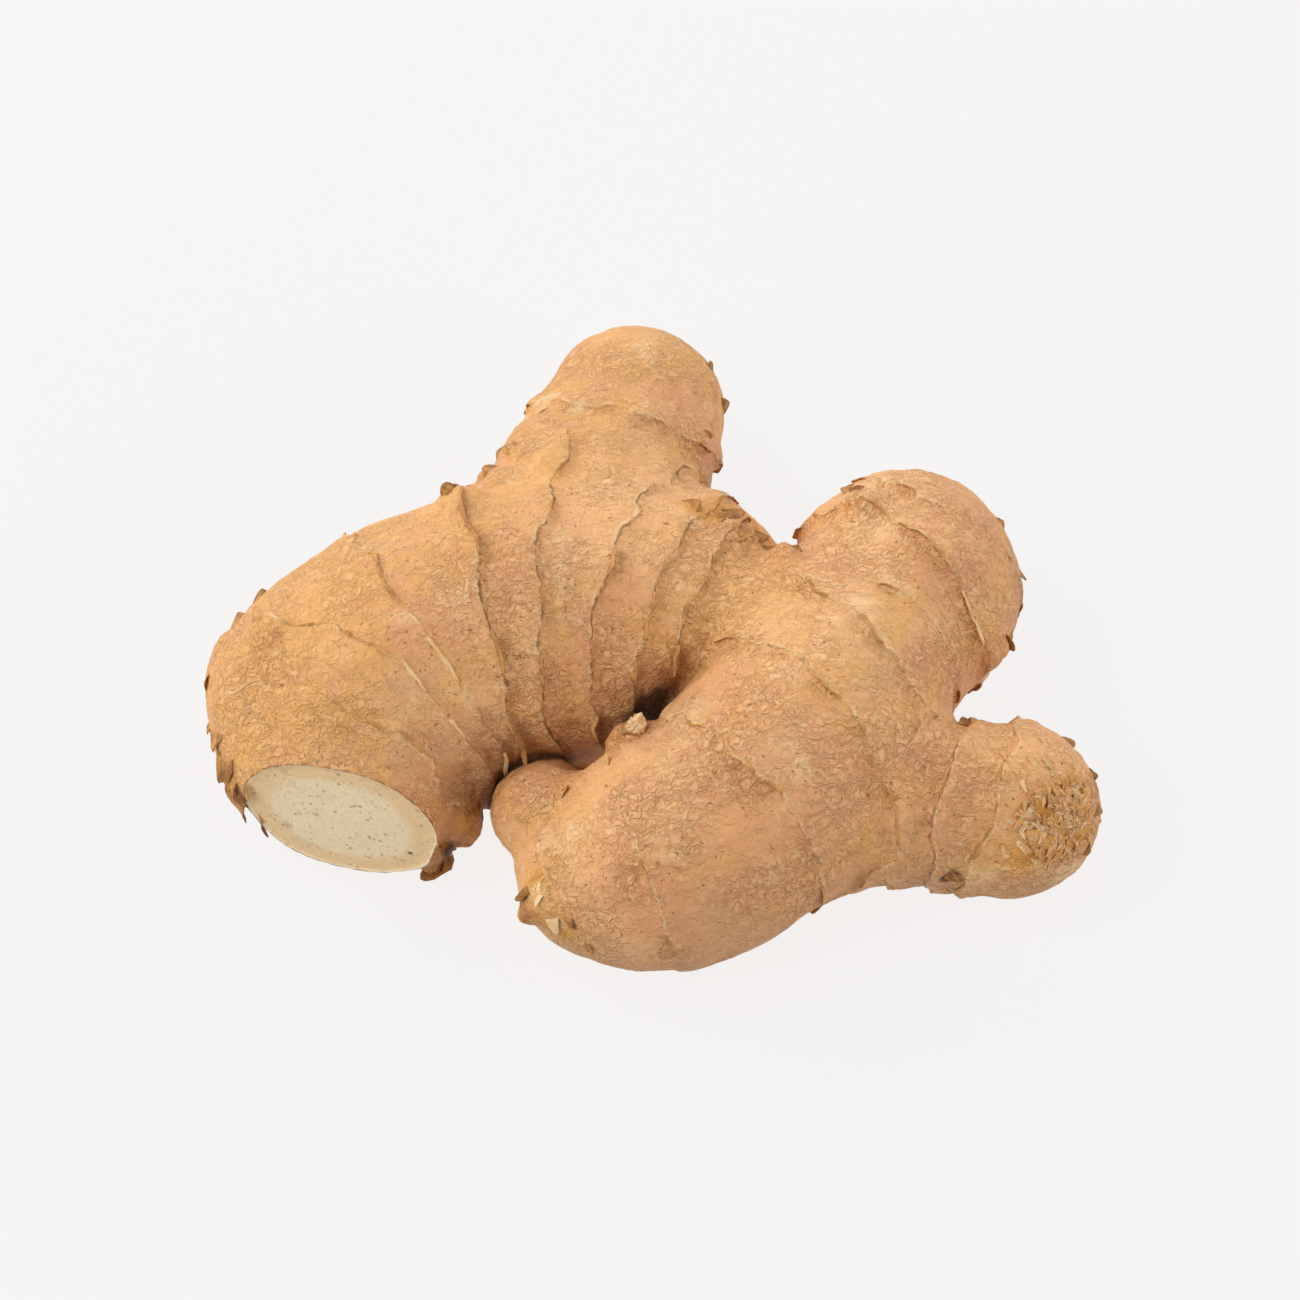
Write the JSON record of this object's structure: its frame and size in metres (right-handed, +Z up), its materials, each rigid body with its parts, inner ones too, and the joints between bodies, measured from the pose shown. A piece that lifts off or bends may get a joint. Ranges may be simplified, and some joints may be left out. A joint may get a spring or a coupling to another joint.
{
  "type": "ginger root",
  "caption": "Fresh hand of ginger: thick ringed lobes grown together, with a knob, a finger, small buds and one cut end.",
  "frame": {"origin": "middle of the bounding box, on the surface that the hand lies on", "axes": "+X along the hand's longest extent, from the cut lobe to the finger; +Y from the long lobe's near end towards the knob; +Z up"},
  "size_m": [0.1266, 0.1155, 0.0382],
  "materials": {
    "skin": "thin dry tan skin, finely wrinkled, with pale moist flesh at the cut end"
  },
  "bodies": {
    "root": {"rhizome": "skin"}
  },
  "joints": []
}
